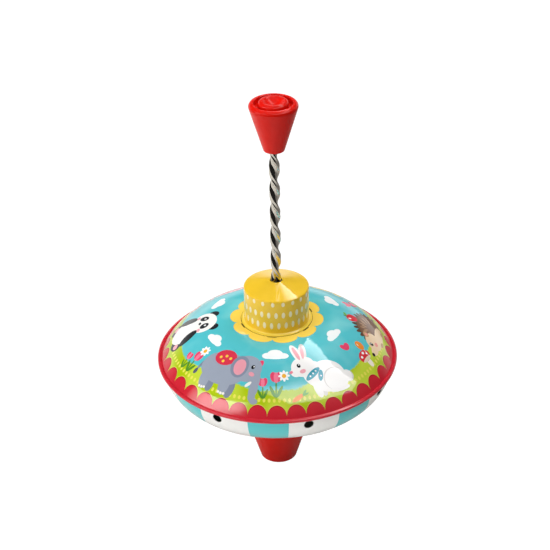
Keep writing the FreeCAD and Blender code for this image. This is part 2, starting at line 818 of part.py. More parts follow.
def driveNut():
    body = turned("drive_nut", [
        (nutBore, nutBottom),
        (nutRadius, nutBottom),
        (nutRadius, nutFloorTop),
        ("Size.cupRadius", nutFloorTop),
        ("Size.cupRadius", cupTop),
        (cupInner, cupTop),
        (cupInner, nutFloorTop),
        (nutBore, nutFloorTop),
    ])
    drill(body, "NutScrewHole", "Size.plateScrewCircle", "Size.plateScrewRadius", plateScrews,
          f"{nutFloorTop} - Size.plateScrewDepth", "Size.plateScrewDepth")
    tooth = newSketch(body, "NutToothOutline", "YZ_Plane", "Size.toothInner")
    drawOutline(tooth, [
        ("-Size.toothWidth / 2", nutBottom),
        ("-Size.toothWidth / 2", nutToothTip),
        ("Size.toothTip - Size.toothWidth / 2", nutToothTip),
        ("Size.toothWidth / 2", nutBottom),
    ])
    saw = pad(body, tooth, toothLength, "NutTooth")
    repeat(body, "NutTeeth", [saw], toothCount)
    return body


def slotPlate():
    low = number(nutFloorTop)
    high = number(slotPlateTop)
    through = (high - low) / 2
    plate = pin(0, number(f"{cupInner} - Size.pressGap"), low, high)
    tools = around(pin(number("Size.plateScrewCircle"), number("Size.plateScrewRadius"), low, high),
                   plateScrews)
    tools.append(twistedBar(number("Size.slotPlay"), low - through, high + through))
    return feature("slot_plate", cutAll(plate, tools))


def slotPlateScrews():
    body = newBody("slot_plate_screws")
    shankBottom = f"({nutFloorTop} - Size.plateScrewDepth)"
    shank = newSketch(body, "PlateScrewShankCircle", "XY_Plane", shankBottom)
    drawCircle(shank, "Size.plateScrewCircle", "Size.plateScrewRadius")
    head = newSketch(body, "PlateScrewHeadCircle", "XY_Plane", slotPlateTop)
    drawCircle(head, "Size.plateScrewCircle", "Size.plateScrewHeadRadius")
    pads = [
        pad(body, shank, f"{slotPlateTop} - {shankBottom}", "PlateScrewShank"),
        pad(body, head, "Size.plateScrewHead", "PlateScrewHead"),
    ]
    repeat(body, "PlateScrews", pads, plateScrews)
    return body


# ---- plunger ----


def spiralRod():
    low = number(stopTop)
    shoulder = number(rodShoulder)
    stop = number(stopBottom)
    head = number("Size.stopHead")
    spigot = pin(0, number("Size.spigotRadius"), stop, low)
    rivetEnd = pin(0, number("Size.spigotRadius") + head, stop - head, stop)
    stem = pin(0, number("Size.stemRadius"), shoulder, number(stemTop))
    return feature("spiral_rod", twistedBar(0, low, shoulder).fuse([spigot, rivetEnd, stem]))


def rodStop():
    return ring("rod_stop", "Size.spigotRadius", stopRadius, stopBottom, stopTop)


def knobBody():
    recess = "(Size.rodWidth / 2 + Size.rodRecessPlay)"
    body = turned("knob_body", [
        (recess, knobBottom),
        ("Size.knobBottomRadius", knobBottom),
        ("Size.knobTopRadius", knobTop),
        (rimInner, knobTop),
        (rimInner, capBottom),
        (cavityRadius, capBottom),
        (cavityRadius, knobFloorTop),
        ("Size.stemRadius", knobFloorTop),
        ("Size.stemRadius", rodShoulder),
        (recess, rodShoulder),
    ])
    roundEdges(body, "KnobTopEdge", "Size.knobEdge", [("Size.knobTopRadius", knobTop)])
    roundEdges(body, "KnobRimEdge", "Size.rimInnerEdge", [(rimInner, knobTop)])
    roundEdges(body, "KnobBottomEdge", "Size.knobBottomEdge", [("Size.knobBottomRadius", knobBottom)])
    return body


def knobCap():
    buttonTop = f"({knobTop} + Size.capRise)"
    buttonRadius = f"({rimInner} - Size.capGroove)"
    dishRadius = f"({buttonRadius} - Size.capEdge - Size.crestWidth)"
    skirtRadius = f"({cavityRadius} - Size.pressGap)"
    skirtBottom = f"({capBottom} - Size.capSkirt)"
    dishCurve = f"({dishRadius} ^ 2 + Size.dishDepth ^ 2) / (2 * Size.dishDepth)"
    roof = f"({buttonTop} - Size.dishDepth - Size.dishFloor)"
    body = turned("knob_cap", [
        ("0", roof),
        (f"{skirtRadius} - Size.capSkirtWall", roof),
        (f"{skirtRadius} - Size.capSkirtWall", skirtBottom),
        (skirtRadius, skirtBottom),
        (skirtRadius, capBottom),
        (f"{rimInner} - Size.pressGap", capBottom),
        (f"{rimInner} - Size.pressGap", capTop),
        (buttonRadius, capTop),
        (buttonRadius, buttonTop),
        ("0", buttonTop),
    ])
    dish = body.newObject("PartDesign::SubtractiveSphere", "Dish")
    dish.setExpression("Radius", dishCurve)
    dish.setExpression("Placement.Base.z", f"{buttonTop} - Size.dishDepth + {dishCurve}")
    body.Tip = dish
    doc.recompute()
    roundEdges(body, "CapEdge", "Size.capEdge", [(buttonRadius, buttonTop)])
    roundEdges(body, "DishEdge", "Size.dishEdge", [(dishRadius, buttonTop)])
    return body


def knobWasher():
    return ring("knob_washer", "Size.stemRadius + Size.runFit", "Size.knobWasherRadius",
                knobFloorTop, knobNutBottom)


def knobNut():
    hexagon = doc.addObject("Part::Prism", "KnobNutHexagon")
    hexagon.Polygon = 6
    hexagon.setExpression("Circumradius", "Size.nutFlats / sqrt(3)")
    hexagon.setExpression("Height", "Size.nutHeight")
    hexagon.setExpression("Placement.Base.z", knobNutBottom)
    bore = doc.addObject("Part::Cylinder", "KnobNutBore")
    bore.setExpression("Radius", "Size.stemRadius")
    bore.setExpression("Height", "Size.nutHeight")
    bore.setExpression("Placement.Base.z", knobNutBottom)
    nut = doc.addObject("Part::Cut", "KnobNut")
    nut.Label = "knob_nut"
    nut.Base = hexagon
    nut.Tool = bore
    doc.recompute()
    return nut


pieces = [
    footCone(),
    centreTube(),
    tubePlug(),
    footScrew(),
    thrustWasher(),
    keeperWasher(),
    keeperClip(),
    topShell(),
    bottomShell(),
    collar(),
    bridgePlate(),
    bush("upper_bush", f"({bridgeBottom} - Size.bushFlange)", upperBushTop),
    bush("lower_bush", lowerBushBottom, f"({reedPlateTop} + Size.lowerBushRise)"),
    reedPlate(),
    reeds(),
    rivets("reed_rivets", reedRivetCircle, "Size.reedRivetRadius", "Size.reedWidth / 2",
           "Size.reedRivetHead", floorInside, f"({reedPlateTop} + Size.reedThickness)", reedCount,
           flush=True),
    rivets("plate_rivets", plateRivetCircle, "Size.rivetRadius", "Size.rivetHeadRadius",
           "Size.rivetHead", "Size.floorLevel", reedPlateTop, plateRivets),
    clutchRing(),
    rivets("clutch_rivets", clutchRivetCircle, "Size.rivetRadius", "Size.rivetHeadRadius",
           "Size.rivetHead", bridgeBottom, clutchTop, bridgeRivets),
    driveNut(),
    slotPlate(),
    slotPlateScrews(),
    spiralRod(),
    rodStop(),
    knobBody(),
    knobCap(),
    knobWasher(),
    knobNut(),
]
doc.recompute()

for item in doc.Objects:
    if "Invalid" in item.State or "Error" in item.State:
        raise RuntimeError(f"{item.Name} failed: {item.State}")
for piece in pieces:
    if piece.Shape.isNull() or not piece.Shape.isValid() or not piece.Shape.Solids:
        raise RuntimeError(piece.Label + " has no valid solid")

os.makedirs("parts", exist_ok=True)
for piece in pieces:
    piece.Shape.exportStep(f"parts/{piece.Label}.step")
    box = piece.Shape.BoundBox
    print(f"{piece.Label:18s} solids {len(piece.Shape.Solids)}  volume {piece.Shape.Volume:9.1f}"
          f"  z {box.ZMin:7.2f} to {box.ZMax:7.2f}")
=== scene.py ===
import bpy
import math
from mathutils import Euler, Matrix, Vector


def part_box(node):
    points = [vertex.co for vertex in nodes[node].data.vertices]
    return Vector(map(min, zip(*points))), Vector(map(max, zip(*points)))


# Looks of the tin humming top: printed tin shells and collar, polished spiral rod, moulded knob and foot.
# Everything is in metres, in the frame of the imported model. The prints are laid out in millimetres, and
# their turns are degrees round Z, counted from +X.

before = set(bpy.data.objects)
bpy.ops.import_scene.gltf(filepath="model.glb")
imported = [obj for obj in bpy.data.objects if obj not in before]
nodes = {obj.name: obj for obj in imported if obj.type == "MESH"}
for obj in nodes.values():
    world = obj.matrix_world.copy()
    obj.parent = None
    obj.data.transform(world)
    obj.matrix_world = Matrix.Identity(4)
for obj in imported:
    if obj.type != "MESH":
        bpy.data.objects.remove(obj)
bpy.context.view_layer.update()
toMm = 1000.0
print("frame loaded:", len(nodes), "nodes")


def color(hexCode):
    # sRGB hex to the linear colour that the sockets take
    linear = []
    for i in (1, 3, 5):
        part = int(hexCode[i:i + 2], 16) / 255
        linear.append(part / 12.92 if part <= 0.04045 else ((part + 0.055) / 1.055) ** 2.4)
    return (*linear, 1)


def grey(value):
    return (value, value, value, 1)


# Short forms for the nodes that the materials are built from.

def addNode(tree, kind, inputs=None, **settings):
    node = tree.nodes.new(kind)
    for name, value in settings.items():
        setattr(node, name, value)
    for socket, value in (inputs or {}).items():
        if isinstance(value, bpy.types.NodeSocket):
            tree.links.new(value, node.inputs[socket])
        else:
            node.inputs[socket].default_value = value
    return node


def calc(tree, operation, *values):
    return addNode(tree, "ShaderNodeMath", dict(enumerate(values)), operation=operation).outputs[0]


def remap(tree, value, low, high, toLow=0.0, toHigh=1.0):
    return addNode(tree, "ShaderNodeMapRange", {"Value": value, "From Min": low, "From Max": high,
                                                "To Min": toLow, "To Max": toHigh}).outputs[0]


def mixColors(tree, factor, first, second):
    return addNode(tree, "ShaderNodeMix", {0: factor, 6: first, 7: second}, data_type="RGBA").outputs[2]


def noise(tree, place, scale, detail, roughness=0.5):
    return addNode(tree, "ShaderNodeTexNoise", {"Vector": place, "Scale": scale, "Detail": detail,
                                                "Roughness": roughness}).outputs["Fac"]


def axesOf(tree, space):
    place = addNode(tree, "ShaderNodeTexCoord").outputs[space]
    return addNode(tree, "ShaderNodeSeparateXYZ", {0: place}).outputs


def newMaterial(name, **values):
    material = bpy.data.materials.new(name)
    material.use_nodes = True
    tree = material.node_tree
    tree.nodes.clear()
    shader = addNode(tree, "ShaderNodeBsdfPrincipled", values)
    addNode(tree, "ShaderNodeOutputMaterial", {"Surface": shader.outputs[0]})
    return material, tree, shader


def dress(material, *names):
    for name in names:
        mesh = nodes[name].data
        if not mesh.materials:
            mesh.materials.append(material)
        for i in range(len(mesh.materials)):
            mesh.materials[i] = material


def finish(tree, shader, look, picture=None):
    # colour, roughness and relief that wander over the surface: "grain" is the size of a patch along X, Y
    # and Z, and "relief" the height of the unevenness, both in millimetres
    place = addNode(tree, "ShaderNodeTexCoord").outputs["Object"]
    perMetre = [toMm / size for size in look["grain"]]
    grained = addNode(tree, "ShaderNodeMapping", {"Vector": place, "Scale": perMetre})
    patches = noise(tree, grained.outputs[0], 1.0, 4.0, 0.6)
    spread = remap(tree, patches, 0.3, 0.7)
    tree.links.new(remap(tree, spread, 0.0, 1.0, *look["roughness"]), shader.inputs["Roughness"])
    if look["relief"]:
        relief = addNode(tree, "ShaderNodeBump", {"Height": patches, "Distance": look["relief"] / toMm,
                                                  "Strength": 1.0})
        for socket in look.get("onto", ("Normal",)):
            tree.links.new(relief.outputs[0], shader.inputs[socket])
    if picture is None:
        pale, dark = (color(code) for code in look["colors"])
        picture = mixColors(tree, spread, dark, pale)
    else:
        # a print keeps its hues, and only its strength wanders
        mottle = remap(tree, spread, 0.0, 1.0, *look["strength"])
        picture = addNode(tree, "ShaderNodeHueSaturation", {"Value": mottle, "Color": picture}).outputs[0]
    tree.links.new(picture, shader.inputs["Base Color"])


# How a print is drawn.

def roundAxis(tree):
    # where a point lies: in plan, up and away from Z in metres, and its turn round Z in degrees
    axes = axesOf(tree, "Object")
    plan = addNode(tree, "ShaderNodeCombineXYZ", {0: axes[0], 1: axes[1]}).outputs[0]
    reach = addNode(tree, "ShaderNodeVectorMath", {0: plan}, operation="LENGTH").outputs["Value"]
    turn = calc(tree, "DEGREES", calc(tree, "ARCTAN2", axes[1], axes[0]))
    return {"plan": plan, "level": axes[2], "reach": reach, "turn": turn}


def printInk(tree, picture, code, amount, over=0.0):
    # lays an ink over a picture wherever an amount is over a limit
    return mixColors(tree, calc(tree, "GREATER_THAN", amount, over), picture, color(code))


def repeatTurn(tree, turn, count, first, low, high):
    # runs from low to high within each of a number of equal steps round the axis
    step = 360 / count
    ahead = calc(tree, "ADD", turn, 720 - first)  # two whole turns keep it above zero
    return remap(tree, calc(tree, "MODULO", ahead, step), 0.0, step, low, high)


def scallopRadius(tree, turn, count, first, valley, depth):
    # radius of a scalloped edge: half ellipses side by side, with sharp valleys
    across = repeatTurn(tree, turn, count, first, -1.0, 1.0)
    rest = calc(tree, "SUBTRACT", 1.0, calc(tree, "MULTIPLY", across, across))
    return calc(tree, "MULTIPLY_ADD", calc(tree, "SQRT", rest), depth, valley)


def paintOvals(tree, flat, picture, ovals, code):
    # ovals of one colour over a picture: (middle x, middle y, half width, half height, turn)
    cover = None
    for x, y, wide, high, turn in ovals:
        place = addNode(tree, "ShaderNodeMapping", {
            "Vector": flat, "Location": (x, y, 0), "Rotation": (0, 0, math.radians(turn)),
            "Scale": (wide, high, 1)}, vector_type="TEXTURE")
        oval = addNode(tree, "ShaderNodeTexGradient", {0: place.outputs[0]}, gradient_type="SPHERICAL")
        spot = oval.outputs["Fac"]
        cover = spot if cover is None else calc(tree, "MAXIMUM", cover, spot)
    return printInk(tree, picture, code, cover)


def paintRing(tree, picture, turn, across, circle, count, first, size, code):
    # equal ovals at equal steps round a circle: one step is laid flat and repeated, and "across" is how far
    # a point lies from the circle
    half = circle * math.pi / count
    along = repeatTurn(tree, turn, count, first, -half, half)
    spot = addNode(tree, "ShaderNodeCombineXYZ", {0: along, 1: across}).outputs[0]
    return paintOvals(tree, spot, picture, [(0, 0, *size, 0)], code)


# Motifs for the dome, each drawn upright on its own ground line: inks with their ovals, as (middle x,
# middle y, half width, half height, lean in degrees, where it leans).

def eye(x, y):
    return [("#15171C", [(x, y, 1.4, 1.7)]), ("#FFFFFF", [(x + 0.4, y + 0.6, 0.5, 0.5)])]


def spray(x, y, wide, high, first, last, count, long, short):
    # ovals that stand out round a middle, as spines or petals do
    ovals = []
    for i in range(count):
        lean = first + (last - first) * i / (count - 1)
        a = math.radians(lean)
        ovals.append((x + wide * math.cos(a), y + high * math.sin(a), long, short, lean))
    return ovals


elephant = [
    ("#7F889B", [(-9, 6, 3.8, 7.5), (9, 6, 3.8, 7.5), (-23, 17, 1.1, 6.5, -28)]),
    ("#59616F", [(-26, 11.4, 1.6, 2.6, -28)]),
    ("#9AA3B3", [(-3, 19, 19.5, 13, 4), (14, 25, 11, 10.5), (23.6, 20, 4.2, 7.5, 22),
                 (26.6, 12.6, 3.3, 6, 8), (28, 7.4, 2.9, 4, 25), (31, 5.2, 3.2, 2.2, 25),
                 (-15, 7, 4.4, 7.6), (3.5, 7, 4.4, 7.6)]),
    ("#F5F1E8", [(-17.2, 1, 1.1, 1), (-14.8, 0.7, 1.1, 1), (-12.5, 1, 1.1, 1), (1.2, 1, 1.1, 1),
                 (3.6, 0.7, 1.1, 1), (6, 1, 1.1, 1), (21, 14.6, 1.2, 3, -30)]),
    ("#D8324A", [(-6, 27, 8.6, 6.6, 8)]),
    ("#F7D24A", [(-10, 26, 1.1, 1.1), (-6, 28, 1.1, 1.1), (-2, 27, 1.1, 1.1), (-6.6, 23.4, 1.1, 1.1)]),
    ("#828CA0", [(8, 24, 6.8, 8.8, 12)]),
    ("#E79AA8", [(8.3, 23.6, 4.6, 6.4, 12), (19.4, 22.2, 2.3, 1.6)]),
    *eye(17.6, 27.6),
]
rabbit = [
    ("#E2DFDC", [(-6, 38, 2.8, 9, -22), (-4.5, 6.3, 2.9, 6.8, -4), (20, 9.4, 4.4, 4.4)]),
    ("#FBF9F7", [(-11, 39, 3.1, 9.5, -4), (3, 13.5, 15, 12.5, -8), (-6, 18, 9.5, 11, 20),
                 (-12, 26.5, 9.5, 8, 10), (-18.5, 24.5, 4.8, 4), (-9, 6.5, 3.1, 7, 4),
                 (18.8, 10.2, 4.4, 4.4)]),
    ("#F2A9B4", [(-11, 39, 1.5, 6.8, -4), (-6.3, 38, 1.3, 6.2, -22), (-14, 23, 2.4, 1.6)]),
    ("#D9D5D2", [(8.2, 9.9, 10.2, 9, 0)]),
    ("#FBF9F7", [(8.9, 9.3, 10, 8.8, 0), (9, 1.9, 9, 2.3)]),
    ("#2A9DB4", [(-7.8, 18.4, 7.4, 2.4, 22), (-2.6, 15.4, 1.9, 4.4, -28)]),
    ("#FFFFFF", [(-10.6, 17.3, 0.7, 0.7), (-7.6, 18.6, 0.7, 0.7), (-4.8, 19.7, 0.7, 0.7),
                 (-2.5, 15, 0.6, 0.6)]),
    ("#EE7F92", [(-22.6, 25.8, 1.5, 1.1)]),
    ("#F08A24", [(-27, 6.4, 5.4, 1.8, 8)]),
    ("#5FA83C", [(-20.6, 8, 2.6, 0.9, 35), (-20.2, 6.6, 2.8, 0.8, 0)]),
    *eye(-14.8, 28.2),
]
hedgehog = [
    ("#5E4230", spray(5, 11.5, 15, 11.5, -8, 188, 15, 5, 1.9)),
    ("#7A563E", [(5, 12, 16, 12)]),
    ("#A9825C", spray(5, 11, 9, 7, 20, 160, 6, 2.4, 0.7) + spray(5, 10, 13, 9.5, 35, 150, 7, 2.4, 0.7)),
    ("#F1D3AC", [(-10.5, 9.5, 8.5, 7.5), (-19, 8, 5.2, 3.3, -8), (1, 4.4, 13, 4.2)]),
    ("#C99A6C", [(-7, 0.9, 3, 1.5), (8, 0.9, 3, 1.5), (-7, 16.4, 2.6, 2.4)]),
    ("#F0958C", [(-11.5, 7, 2.2, 1.5), (-6.9, 16.2, 1.4, 1.3)]),
    ("#2B2020", [(-24, 8.9, 1.6, 1.5)]),
    ("#DA2B38", [(7, 27.5, 4.6, 4.3)]),
    ("#FFFFFF", [(5.3, 29, 0.8, 1.2, 20)]),
    ("#5A3A22", [(7.4, 32.4, 0.5, 1.8, -15)]),
    ("#6DB33F", [(9.8, 32.6, 2.4, 1, 25)]),
    *eye(-14.6, 11.4),
]
duck = [
    ("#F08A24", [(-3, 3, 0.9, 3.4), (4, 3, 0.9, 3.4), (-1.8, 0.8, 3, 1), (5.2, 0.8, 3, 1),
                 (20.6, 30, 4.6, 2, -6), (19.2, 28.2, 3, 1.3, -12)]),
    ("#FCDC58", [(-16, 18.5, 6.5, 3.2, -38), (-1, 14, 15.5, 10, 6), (9.5, 23, 5.6, 8, -14),
                 (12, 31, 7.4, 7)]),
    ("#F2BE2C", [(-3.5, 15.5, 9, 5.8, 16)]),
    ("#FCDC58", [(-3, 16.4, 8.6, 5.2, 16)]),
    ("#D8324A", [(6.4, 20.6, 3.4, 2.2, 35), (12.8, 18.8, 3.4, 2.2, -20)]),
    ("#F7F3EA", [(9.8, 19.6, 1.4, 1.4)]),
    ("#F59A6B", [(13, 28.2, 2.2, 1.5)]),
    *eye(14.2, 32.2),
]
pig = [
    ("#E88FA0", [(-8, 5, 3.4, 6), (13, 5, 3.4, 6), (-19, 29, 3.2, 4.8, 30), (-9.5, 30, 3.2, 4.8, -25),
                 (21.4, 20.5, 3.4, 1, 40), (24, 23, 2.4, 1, -35)]),
    ("#F5ABB8", [(3, 16.5, 17.5, 12), (-14, 20.5, 10.5, 9.8), (-3, 5.6, 3.6, 6.4), (8, 5.6, 3.6, 6.4)]),
    ("#E97E92", [(-22.5, 18.4, 3.4, 4.2, 8), (8, 20, 4.6, 3.6, 20), (13, 14, 2.4, 2),
                 (-13, 17.4, 2.6, 1.7)]),
    ("#9C4658", [(-23.6, 19.8, 0.6, 0.9), (-23, 17, 0.6, 0.9), (-3, 0.8, 2.8, 1.2), (8, 0.8, 2.8, 1.2)]),
    *eye(-16.4, 23),
]
panda = [
    ("#23262B", [(-8.5, 37, 4, 4), (8.5, 37, 4, 4), (-10, 5, 6.5, 5.5, -20), (10, 5, 6.5, 5.5, 20)]),
    ("#FBF9F5", [(0, 14, 12.5, 13.5), (0, 29.5, 12, 10)]),
    ("#23262B", [(-11, 16.5, 3.8, 8.6, -25), (11, 16.5, 3.8, 8.6, 25), (-4.8, 30, 2.9, 3.6, -28),
                 (4.8, 30, 2.9, 3.6, 28), (0, 26.4, 1.7, 1.1)]),
    ("#F2A9B4", [(-8, 25.4, 2, 1.4), (8, 25.4, 2, 1.4), (-12, 4.6, 2.6, 2.6), (12, 4.6, 2.6, 2.6)]),
    ("#FFFFFF", [(-4.4, 30.6, 0.9, 0.9), (4.4, 30.6, 0.9, 0.9)]),
]
tulip = [
    ("#4F8F2C", [(0, 7, 0.7, 7.5), (-2.8, 5, 1.3, 5, 25), (2.8, 5, 1.3, 5, -25)]),
    ("#E8446A", [(-2, 16.4, 2.5, 4, 12), (2, 16.4, 2.5, 4, -12)]),
    ("#F57C98", [(0, 15.8, 1.9, 4.2)]),
]
mushroom = [
    ("#F8F1E2", [(0, 3.8, 2.6, 4.6)]),
    ("#DA2B38", [(0, 10, 7, 4.6)]),
    ("#EAD7BC", [(0, 7, 5.8, 1.4)]),
    ("#FFFFFF", [(-3.4, 10.8, 1.2, 1.1), (0.8, 12.4, 1.3, 1.1), (4, 10.2, 1, 0.9)]),
]
cloud = [("#F7FBFB", [(-6, 0, 5, 3.4), (0, 2, 6.5, 5), (6.5, 0, 5, 3.2), (0, -1.4, 9, 2.4)])]
heart = [("#E8446A", [(-1.7, 0, 2.9, 4.6, 38), (1.7, 0, 2.9, 4.6, -38)])]
snail = [
    ("#EBB878", [(1, 1.7, 9, 1.9), (8.4, 5, 1.9, 3.2, -12), (8, 9, 0.5, 1.6, 12), (10, 9, 0.5, 1.6, -20)]),
    ("#8E5BA6", [(-1.4, 6.4, 5.8, 5.6)]),
    ("#C79BD6", [(-1, 6.2, 3.9, 3.7)]),
    ("#8E5BA6", [(-0.8, 6, 2, 1.9)]),
]
daisy = [
    ("#FFFFFF", spray(0, 0, 3, 3, 0, 315, 8, 2.6, 1.3)),
    ("#F6B42C", [(0, 0, 2.1, 2.1)]),
]
balloon = [
    ("#FFFFFF", [(0, -7, 0.25, 5)]),
    ("#F08A24", [(0, 2, 3.8, 4.8)]),
    ("#FBD9A8", [(-1.3, 3.6, 0.7, 1.4, -15)]),
]

# motif, turn round the dome, reach of its ground line from the middle, size, tilt, whether it is flipped
layout = [
    (cloud, -92, 51, 0.9, 0, False), (cloud, -152, 55, 0.8, 0, False), (cloud, -28, 50, 0.8, 0, True),
    (cloud, 32, 52, 0.8, 0, False), (cloud, 90, 52, 0.9, 0, False), (cloud, 150, 54, 0.8, 0, True),
    (heart, -104, 60, 0.8, 14, False), (heart, -33, 63, 0.8, -12, False), (heart, 27, 64, 0.8, 10, False),
    (tulip, -91, 86, 1.0, 0, False), (tulip, -98, 87, 0.8, 6, False), (mushroom, -27, 88, 1.0, 0, False),
    (tulip, 29, 86, 0.9, 0, False), (snail, 89, 87, 1.0, 0, False), (mushroom, 149, 88, 0.9, 0, False),
    (tulip, -149, 87, 0.9, 0, False), (tulip, -154, 88, 0.7, 8, False), (daisy, -86, 69, 0.8, 0, False),
    (daisy, -148, 66, 0.8, 0, False), (balloon, -23, 72, 0.9, -8, False), (daisy, 93, 66, 0.8, 0, False),
    (elephant, -124, 89, 1.04, 0, False), (rabbit, -61, 89, 1.02, 0, False),
    (hedgehog, -2, 89, 1.08, 0, False), (duck, 60, 89, 1.08, 0, False), (pig, 119, 89, 1.06, 0, False),
    (panda, 179, 89, 1.06, 0, False),
]


def placeMotif(motif, turn, reach, size, tilt, flip):
    # sets a motif on the flat print, its head towards the middle
    placed = []
    around = math.radians(turn)
    tipped = math.radians(tilt)
    for code, ovals in motif:
        row = []
        for x, y, wide, high, *leaning in ovals:
            lean = leaning[0] if leaning else 0
            if flip:
                x, lean = -x, -lean
            x, y = x * size, y * size
            x, y = x * math.cos(tipped) - y * math.sin(tipped), x * math.sin(tipped) + y * math.cos(tipped)
            out = reach - y
            row.append((out * math.cos(around) - x * math.sin(around),
                        out * math.sin(around) + x * math.cos(around),
                        wide * size, high * size, lean + tilt + turn + 90))
        placed.append((code, row))
    return placed


# The dome's print. The dark line round the collar is painted shadow, the shade in the narrow space under
# its skirt, wider at the slits for its tabs.
dome = {
    "sheetGrowth": 10.8,  # how much the flat sheet outgrows the dome, with the square of the drop
    "sky": "#52C3CD", "skyLight": "#7BD3D8", "strokeScale": 0.03,
    "meadow": "#AEC700", "meadowLight": "#C6D93A", "meadowEdge": 76.9, "meadowBlur": 1.0,
    "hills": 2.2, "hillScale": 0.035, "blades": 2.4, "bladeScale": 0.55,
    "petals": 10, "petal": "#FFDC58", "petalRim": "#F6BE3A", "petalRimWidth": 0.4,
    "petalValley": 31.2, "petalDepth": 5.6, "petalTurn": -96.6,
    # painted shadow under the collar's skirt: its colour, how far out it lies and its half width
    "gapShade": "#38280C", "gapOut": 0.1, "gapHalf": 0.25,
    "slits": 6, "slitTurn": 22.0, "slitSpan": 7.0, "slitHalf": 1.2,
    "dots": "#E6E25A", "dotCircle": 82.9, "dotCount": 135, "dotSize": (1.1, 1.1),
    "scallops": 38, "scallopValley": 90.9, "scallopDepth": 5.5, "scallopTurn": -95.4,
    "border": "#CE2233", "borderRim": "#A81524", "rimWidth": 0.55,
    "outline": "#E4DC68", "outlineWidth": 0.3,
}


def layFlat(tree, place):
    # the dome laid out flat, as the sheet was before it was pressed: it grows outwards with the drop
    drop = calc(tree, "SUBTRACT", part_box("top_shell")[1].z, place["level"])
    square = calc(tree, "MULTIPLY", drop, drop)
    grown = calc(tree, "MULTIPLY_ADD", square, dome["sheetGrowth"], place["reach"])
    stretch = calc(tree, "MULTIPLY", calc(tree, "DIVIDE", grown, place["reach"]), toMm)
    flat = addNode(tree, "ShaderNodeVectorMath", {0: place["plan"], 3: stretch}, operation="SCALE")
    return flat.outputs[0]


def paintGround(tree, flat, radius):
    # sky with a few paler brush strokes, and the meadow with soft hills and a grassy edge
    strokes = remap(tree, noise(tree, flat, dome["strokeScale"], 2.0), 0.5, 0.75)
    sky = mixColors(tree, strokes, color(dome["sky"]), color(dome["skyLight"]))
    grass = noise(tree, flat, dome["bladeScale"], 3.0)
    rolling = noise(tree, flat, dome["hillScale"], 0.0)
    lifted = calc(tree, "MULTIPLY_ADD", rolling, 4 * dome["hills"], radius)
    bladed = calc(tree, "MULTIPLY_ADD", grass, dome["blades"], lifted)
    start = dome["meadowEdge"] + 2 * dome["hills"]
    ground = remap(tree, bladed, start, start + dome["meadowBlur"])
    sunlit = remap(tree, rolling, 0.45, 0.6)
    field = mixColors(tree, sunlit, color(dome["meadow"]), color(dome["meadowLight"]))
    return mixColors(tree, ground, sky, field)


def paintPetals(tree, picture, turn, radius):
    # petals round the collar, each with a darker rim
    edge = scallopRadius(tree, turn, dome["petals"], dome["petalTurn"], dome["petalValley"],
                         dome["petalDepth"])
    inside = calc(tree, "SUBTRACT", edge, radius)
    picture = printInk(tree, picture, dome["petalRim"], inside)
    return printInk(tree, picture, dome["petal"], inside, dome["petalRimWidth"])


# painted shadow: a dark line where the space under the collar's skirt is in shade, wider at the tab slits
def paintGapShade(tree, picture, turn, radius):
    step = 360 / dome["slits"]
    beside = repeatTurn(tree, turn, dome["slits"], dome["slitTurn"] - step / 2, -step / 2, step / 2)
    atSlit = calc(tree, "COMPARE", beside, 0.0, dome["slitSpan"])
    half = calc(tree, "MULTIPLY_ADD", atSlit, dome["slitHalf"] - dome["gapHalf"], dome["gapHalf"])
    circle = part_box("collar")[1].x * toMm + dome["gapOut"]
    return printInk(tree, picture, dome["gapShade"], calc(tree, "COMPARE", radius, circle, half), 0.5)


def paintBorder(tree, picture, turn, radius):
    # scalloped border with a thin outline and a darker rim
    edge = scallopRadius(tree, turn, dome["scallops"], dome["scallopTurn"], dome["scallopValley"],
                         -dome["scallopDepth"])
    past = calc(tree, "SUBTRACT", radius, edge)
    for ink, over in (("outline", -dome["outlineWidth"]), ("borderRim", 0.0), ("border", dome["rimWidth"])):
        picture = printInk(tree, picture, dome[ink], past, over)
    return picture


def printDome(tree):
    place = roundAxis(tree)
    turn = place["turn"]
    radius = calc(tree, "MULTIPLY", place["reach"], toMm)
    flat = layFlat(tree, place)
    picture = paintGround(tree, flat, radius)
    picture = paintPetals(tree, picture, turn, radius)
    picture = paintGapShade(tree, picture, turn, radius)
    fromDots = calc(tree, "SUBTRACT", radius, dome["dotCircle"])
    picture = paintRing(tree, picture, turn, fromDots, dome["dotCircle"], dome["dotCount"], 0.0,
                        dome["dotSize"], dome["dots"])
    picture = paintBorder(tree, picture, turn, radius)
    for motif, *setting in layout:
        for code, ovals in placeMotif(motif, *setting):
            picture = paintOvals(tree, flat, picture, ovals, code)
    return picture


bowl = {"white": "#F1F1EF", "turquoise": "#52C6CA", "panels": 8, "whiteTurn": -130.1, "whiteSpan": 25.35}


def printBowl(tree):
    # upright panels, white and turquoise in turn
    step = 360 / bowl["panels"]
    past = repeatTurn(tree, roundAxis(tree)["turn"], bowl["panels"], bowl["whiteTurn"], 0.0, step)
    return printInk(tree, color(bowl["white"]), bowl["turquoise"], past, bowl["whiteSpan"])


collar = {
    "yellow": "#F6C92C", "radius": 25.45,
    # painted light: the up-facing skirt is the same yellow tin, painted paler from the radius where it
    # starts
    "skirt": "#FFDD4C", "skirtStart": 25.75,
    "oval": "#FFEFC2",
    # level of the row, how many, half width, half height, turn of the first from the front
    "rows": [(158.2, 20, 1.3, 1.9, -6.7), (148.6, 28, 1.3, 2.6, -1.2), (139.2, 28, 1.25, 2.8, 3.5)],
}


def printCollar(tree):
    # rows of ovals round the cylinder, and a skirt painted paler, which is painted light: it is the same
    # yellow tin
    place = roundAxis(tree)
    level = calc(tree, "MULTIPLY", place["level"], toMm)
    radius = calc(tree, "MULTIPLY", place["reach"], toMm)
    picture = printInk(tree, color(collar["yellow"]), collar["skirt"], radius, collar["skirtStart"])
    for height, count, wide, high, first in collar["rows"]:
        fromRow = calc(tree, "SUBTRACT", level, height)
        picture = paintRing(tree, picture, place["turn"], fromRow, collar["radius"], count,
                            first - 90 - 180 / count, (wide, high), collar["oval"])
    return picture


